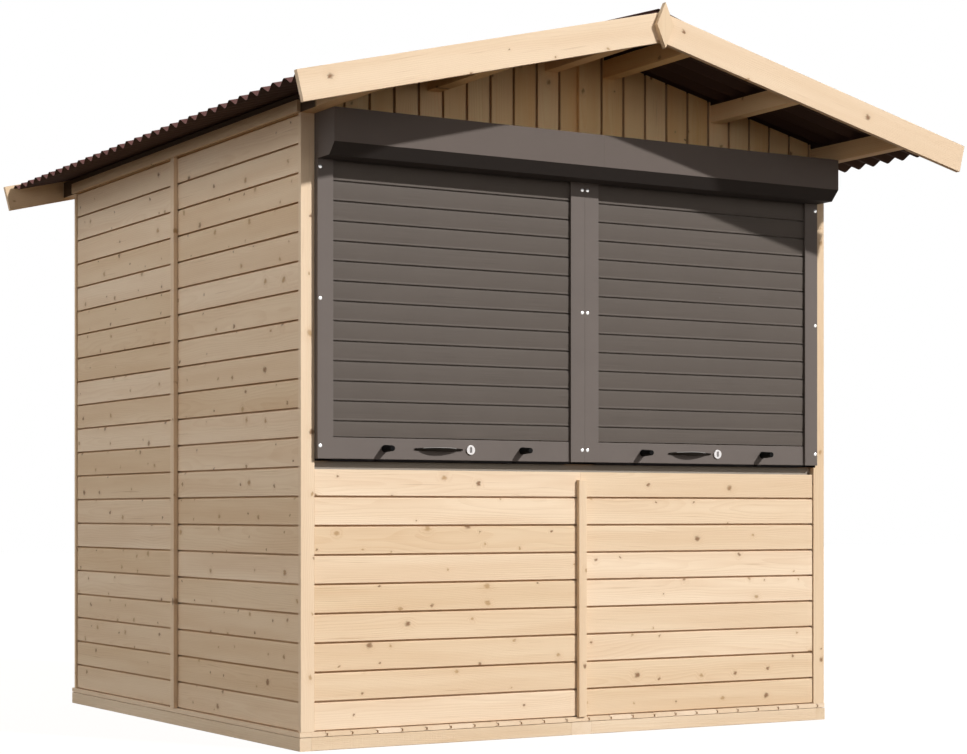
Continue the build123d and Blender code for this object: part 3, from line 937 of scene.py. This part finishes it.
# %% [markdown]
# ## Coated metal
# The shutters, their guides and boxes are coated in a warm dark grey with a soft sheen. Plain grey
# would look like paper, so the coat is a little mottled and has a fine orange-peel relief, and the
# slats show faint rolled streaks and a few pale specks. The undersides of the boxes are nearly
# black in the photograph, so they get a darker coat, which is painted shade. The roof sheets are a
# dark red brown, and the faces of the roof that look down a darker brown, which is painted shade.

# %% Coated metal
SPECK = (0.5, 0.46, 0.42)


def coated(name, colour, sheen, gloss=0.05, streaks=0.0, mottle=0.08, specks=0.0):
    """A coated metal: its colour, its roughness, streaks along X, mottling and pale specks."""
    finish, tree, shader = new_finish(name)
    place = object_place(tree)
    cloud = noise(tree, place, 9.0, 4.0, 0.6)
    peel = noise(tree, place, 900.0)
    value = calc(tree, "MULTIPLY_ADD", cloud, 2 * mottle, 1.0 - mottle)
    if streaks:
        rolled = long_noise(tree, place, (5.0, 60.0, 420.0), 3.0, 0.6)
        patch = smooth_range(tree, long_noise(tree, place, (7.0, 7.0, 16.0)), 0.42, 0.7)
        rolled = calc(tree, "MULTIPLY", calc(tree, "SUBTRACT", rolled, 0.5), patch)
        value = calc(tree, "MULTIPLY_ADD", rolled, streaks, value)
    surface = levelled(tree, (*colour, 1), value)
    if specks:
        cells = tree.nodes.new("ShaderNodeTexVoronoi")
        cells.inputs["Scale"].default_value = 7.0
        tree.links.new(place, cells.inputs["Vector"])
        speck = smooth_range(tree, cells.outputs["Distance"], specks, specks * 0.5)
        surface = mixed(tree, calc(tree, "MULTIPLY", speck, 0.5), surface, SPECK)
    tree.links.new(surface, shader.inputs["Base Color"])
    rough = calc(tree, "MULTIPLY_ADD", cloud, 0.16, sheen - 0.08)
    tree.links.new(rough, shader.inputs["Roughness"])
    shader.inputs["Specular IOR Level"].default_value = gloss
    bumped(tree, shader, peel, 0.00006, 0.6)
    return finish


guide_coat = coated("guide_coat", (0.172, 0.145, 0.130), 0.5)
slat_coat = coated("slat_coat", (0.130, 0.109, 0.094), 0.5, streaks=0.5, specks=0.012)
box_coat = coated("box_coat", (0.150, 0.122, 0.107), 0.48)
# Painted shade: a darker coat for the faces of the boxes that look down.
under_coat = coated("under_coat", (0.05, 0.042, 0.038), 0.55, gloss=0.02)
roof_coat = coated("roof_coat", (0.125, 0.047, 0.040), 0.58, gloss=0.22, mottle=0.25)
# Painted shade: a duller and darker coat for the roof's faces that look down.
roof_underside_painted_shade = coated("roof_underside_painted_shade", (0.088, 0.056, 0.046), 0.6, gloss=0.02)
sill_coat = coated("sill_coat", (0.31, 0.28, 0.24), 0.55)
print("metal finishes:", [m.name for m in bpy.data.materials if "coat" in m.name])

# %% [markdown]
# ## Shutter curtains
# A curtain is hooked together from rolled slats. Each slat bulges gently, so its upper part looks
# up and is lighter, and its lower part looks down and is darker. A small nose along the foot covers
# the hook of the slat below, and between the two there is a dark gap. A bump could fake that from
# the front only, so one slat is drawn with its real section and copied upwards.

# %% Slats
SLAT_PITCH = 0.0602
FIRST_JOINT = 0.051
FIRST_CUT = 0.0024
LEAST_SLAT = 0.05
SLAT_SMOOTH = math.radians(28)
SLAT_SECTION_MM = (
    (2.6, 0.2), (0.9, 0.2), (0.35, 1.2), (0.35, 2.9), (1.4, 4.6), (1.65, 6.0), (1.3, 10.0),
    (0.75, 17.0), (0.3, 26.0), (0.1, 34.0), (0.15, 42.0), (0.35, 49.5), (0.6, 54.0),
    (0.9, 55.6), (6.4, 55.8), (6.4, 59.9), (8.6, 59.9), (8.6, 0.2),
)


def curtain(node, name):
    """Slats from the bottom bar up into the box, the first and the last cut to fit."""
    low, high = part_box(node)
    foot = low.z + FIRST_JOINT - SLAT_PITCH
    outline = [(low.y + depth / 1000, foot + up / 1000) for depth, up in SLAT_SECTION_MM]
    slat = drawn(name, outline, "X", low.x, high.x - low.x)
    rows = math.ceil((high.z - foot) / SLAT_PITCH - LEAST_SLAT)
    slats = [copied(slat, (0, 0, i * SLAT_PITCH)) for i in range(rows)]
    bpy.data.objects.remove(slat)
    cut_off(slats[0], (0, 0, low.z + FIRST_CUT), (0, 0, -1))
    cut_off(slats[-1], (0, 0, high.z), (0, 0, 1))
    piece = joined(name, slats)
    bpy.ops.object.shade_smooth_by_angle(angle=SLAT_SMOOTH)
    return finished(piece, [node], "shutter", slat_coat)


for side in ("left", "right"):
    curtain(f"{side}_shutter_curtain", f"{side}_curtain_slats")

# %% [markdown]
# ## Guides, bars, boxes and sill
# These are extruded or folded metal. The solids already have their sections, so copies get small
# rounded edges, which is where coated metal catches the light. The faces of the boxes that look
# down have the darker coat, which is painted shade. The sill's top edge is raised to the foot of
# the thin seal above it.

# %% Folded and extruded metal
LOOKS_DOWN = -0.4


def metal_piece(node, name, slot, finish, ease, segments=2):
    """A copy of a solid with rounded edges and a coat."""
    return finished(eased(merged_copy(node, name), ease, segments), [node], slot, finish)


for side in ("left", "right"):
    metal_piece(f"{side}_shutter_guides", f"{side}_guide_rails", "shutter", guide_coat, 0.0008)
    metal_piece(f"{side}_bottom_bar", f"{side}_bottom_bar_coated", "shutter", guide_coat, 0.0006)
    box = metal_piece(f"{side}_shutter_box", f"{side}_box_folded", "shutter", box_coat, 0.0004)
    # The faces that look down get the painted shade.
    box.data.materials.append(under_coat)
    for face in box.data.polygons:
        face.material_index = 1 if face.normal.z < LOOKS_DOWN else 0

ledge = merged_copy("shutter_sill", "shutter_sill_angle")
raised(ledge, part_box("shutter_sill")[1].z, SEAL_LIFT - HAIR)
finished(eased(ledge, 0.0005), ["shutter_sill"], "sill", sill_coat)

# %% [markdown]
# ## Rubber and black plastic
# The seal under the shutters and the four buffers are black rubber, dull and a little dusty. The
# bow handles are black too. They thin out towards their feet, and the solids don't, so the points
# of a copy are drawn in towards the middle height. The upper front edge is given a pale colour,
# which is a painted highlight.

# %% Rubber and plastic
DUST = (0.12, 0.11, 0.10)


def black(name, colour, sheen, gloss, grain_scale):
    """A black rubber or plastic with a fine grain."""
    finish, tree, shader = new_finish(name)
    place = object_place(tree)
    fine = noise(tree, place, grain_scale, 3.0)
    dust = smooth_range(tree, noise(tree, place, 25.0, 4.0), 0.45, 0.8)
    surface = mixed(tree, calc(tree, "MULTIPLY", dust, 0.06), colour, DUST)
    tree.links.new(surface, shader.inputs["Base Color"])
    rough = calc(tree, "MULTIPLY_ADD", fine, 0.15, sheen)
    tree.links.new(rough, shader.inputs["Roughness"])
    shader.inputs["Specular IOR Level"].default_value = gloss
    bumped(tree, shader, fine, 0.0001, 0.5)
    return finish


seal_rubber = black("seal_rubber", (0.004, 0.003, 0.003), 0.6, 0.03, 500.0)
buffer_rubber = black("buffer_rubber", (0.004, 0.004, 0.004), 0.5, 0.05, 700.0)
handle_black = black("handle_black", (0.010, 0.007, 0.005), 0.4, 0.03, 1200.0)
# Painted highlight: a pale colour for the handles' upper front edge.
handle_painted_highlight = black("handle_painted_highlight", (0.36, 0.34, 0.32), 0.4, 0.1, 1200.0)

# %% Seal and buffers
strip = merged_copy("sill_seal", "sill_seal_strip")
raised(strip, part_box("sill_seal")[0].z, SEAL_LIFT)
finished(eased(strip, 0.0015, 3), ["sill_seal"], "rubber", seal_rubber)
metal_piece("bar_stops", "bar_stop_buffers", "rubber", buffer_rubber, 0.0012, 3)

# %% Bow handles
BOW_HALF = 0.0855
BOW_TAPER = 0.62
BOW_EASE = 0.0029
HIGHLIGHT_UP = 0.25
HIGHLIGHT_DEPTH = 0.016

low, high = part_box("bar_handles")
bows = merged_copy("bar_handles", "bar_bow_handles")
level = (low.z + high.z) / 2
for vertex in bows.data.vertices:
    centre = low.x + BOW_HALF if vertex.co.x < 0 else high.x - BOW_HALF
    out = abs(vertex.co.x - centre) / BOW_HALF
    vertex.co.z = level + (vertex.co.z - level) * (1.0 - BOW_TAPER * out ** 2)
finished(eased(bows, BOW_EASE, 5), ["bar_handles"], "handle", handle_black, handle_painted_highlight)
# Faces on the upper front edge get the painted highlight.
for face in bows.data.polygons:
    wear_and_highlight = face.normal.z > HIGHLIGHT_UP and face.center.y < low.y + HIGHLIGHT_DEPTH
    face.material_index = 1 if wear_and_highlight else 0

# %% [markdown]
# ## Locks
# Each lock is a bright turned rose with a slot. A mirror finish would show the whole studio, so it
# is only slightly metallic, and fine turning marks blur it.

# %% Lock roses
bright, tree, shader = new_finish("bright_lock")
shader.inputs["Base Color"].default_value = (0.80, 0.765, 0.75, 1)
shader.inputs["Metallic"].default_value = 0.15
shader.inputs["Specular IOR Level"].default_value = 0.2
turned = long_noise(tree, object_place(tree), (900.0, 60.0, 900.0))
rough = calc(tree, "MULTIPLY_ADD", turned, 0.12, 0.24)
tree.links.new(rough, shader.inputs["Roughness"])
bumped(tree, shader, turned, 0.00003, 0.5)
metal_piece("bar_locks", "bar_lock_roses", "lock", bright, 0.0009, 3)

# %% [markdown]
# Behind each rose's slot stands the grey cover of the keyhole. It is an oval whose outline is two
# half circles, and it is drawn once and copied to the other shutter.

# %% Keyhole covers
KEY_R = 0.003
KEY_UP = 0.0055
KEY_IN = 0.0012
KEY_T = 0.002
HALF_POINTS = 8

grey, tree, shader = new_finish("keyhole_grey")
wear_and_highlight = noise(tree, object_place(tree), 400.0, 3.0)
grey_colour = mixed(tree, wear_and_highlight, (0.20, 0.185, 0.18), (0.30, 0.28, 0.27))
tree.links.new(grey_colour, shader.inputs["Base Color"])
shader.inputs["Roughness"].default_value = 0.5
shader.inputs["Specular IOR Level"].default_value = 0.1

low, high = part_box("bar_locks")
rose = (high.z - low.z) / 2
oval = []
for way in (1, -1):
    for i in range(HALF_POINTS):
        turn = math.radians(180 * i / (HALF_POINTS - 1) + (0 if way > 0 else 180))
        across = low.x + rose + KEY_R * math.cos(turn)
        oval.append((across, low.z + rose + way * KEY_UP + KEY_R * math.sin(turn)))
first = drawn("keyhole_covers", oval, "Y", low.y + KEY_IN, KEY_T)
second = copied(first, (high.x - low.x - 2 * rose, 0, 0))
finished(joined("keyhole_covers", [first, second]), [], "lock", grey)

# %% [markdown]
# ## Roof
# The sheets are corrugated: the waves run down the slope, and their ends show as a wavy line under
# the eaves. The solids have these waves, but with flat facets. More facets would be heavy, so a
# copy is only shaded smooth across them. The cap is a flat sheet with one fold, which stays sharp.
# The faces that look down have a duller and darker coat, which is painted shade.

# %% Sheets and ridge cap
ROUND, FOLDED = math.radians(35), math.radians(5)
ROOF_DOWN = -0.05


def sheet_piece(node, name, angle):
    """A copy of a sheet, shaded smooth over edges that are blunter than an angle."""
    piece = take(merged_copy(node, name))
    bpy.ops.object.shade_smooth_by_angle(angle=angle)
    finished(piece, [node], "roof", roof_coat, roof_underside_painted_shade)
    # Faces that look down get the painted shade.
    for face in piece.data.polygons:
        face.material_index = 1 if face.normal.z < ROOF_DOWN else 0


for side in ("left", "right"):
    sheet_piece(f"{side}_roof_sheet", f"{side}_corrugated_sheet", ROUND)
sheet_piece("ridge_cap", "ridge_cap_folded", FOLDED)

# %% [markdown]
# The cap stands off the waves, and at both ends the hollow under it is closed by a folded plate, so
# that no sun falls through it onto the gable. Each plate is drawn as a flat V under the cap.

# %% Closures under the ridge cap
CLOSURE_T = 0.0015
CLOSURE_IN = 0.014
CLOSURE_EDGE = 0.004
CLOSURE_H = 0.012
CLOSURE_LAP = 0.002
CAP_T = 0.0016

low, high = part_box("ridge_cap")
edge = high.x - CLOSURE_EDGE
fold = high.z - CAP_T
rim = low.z + (fold - low.z) * CLOSURE_EDGE / high.x
under = [(-edge, rim), (-edge, rim - CLOSURE_H), (0.0, ROOF_Z - CLOSURE_LAP)]
under += [(edge, rim - CLOSURE_H), (edge, rim), (0.0, fold)]
places = (low.y + CLOSURE_IN, high.y - CLOSURE_IN - CLOSURE_T)
closures = [drawn("closure", under, "Y", y, CLOSURE_T) for y in places]
finished(joined("ridge_cap_closures", closures), [], "roof", roof_coat)

# %% [markdown]
# ## Rivets
# Pale domed rivets hold the guides, in pairs in the middle and singly at the sides. A white disc
# would do from afar, but a dome catches a spot of sun. A ball is flattened and its back half is
# sawn off, and the dome is copied to its twelve places.

# %% Guide rivets
RIVET_R, RIVET_RISE = 0.006, 0.0026
RIVET_X = (-0.947, -0.010, 0.010, 0.947)
RIVET_Z = (0.916, 1.3575, 1.7515)
DOME_SMOOTH = math.radians(50)

white, tree, shader = new_finish("rivet_white")
wear_and_highlight = noise(tree, object_place(tree), 160.0, 3.0)
scuffed = smooth_range(tree, wear_and_highlight, 0.55, 0.75)
rivet_colour = mixed(tree, scuffed, (0.97, 0.97, 0.96), (0.75, 0.73, 0.7))
tree.links.new(rivet_colour, shader.inputs["Base Color"])
shader.inputs["Metallic"].default_value = 0.9
rough = calc(tree, "MULTIPLY_ADD", wear_and_highlight, 0.2, 0.25)
tree.links.new(rough, shader.inputs["Roughness"])
bumped(tree, shader, wear_and_highlight, 0.00005, 0.5)

bpy.ops.object.select_all(action="DESELECT")
bpy.ops.mesh.primitive_uv_sphere_add(segments=20, ring_count=10, radius=1)
dome = cut_off(bpy.context.object, (0, 0, 0), (0, 1, 0))
dome.name = "guide_rivets"
guide_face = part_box("left_shutter_guides")[0].y
flat = Matrix.Diagonal((RIVET_R, RIVET_RISE, RIVET_R, 1))
dome.data.transform(Matrix.Translation((0, guide_face, 0)) @ flat)
bpy.ops.object.shade_smooth_by_angle(angle=DOME_SMOOTH)
rivets = [copied(dome, (x, 0, z)) for x in RIVET_X for z in RIVET_Z]
bpy.data.objects.remove(dome)
finished(joined("guide_rivets", rivets), [], "lock", white)
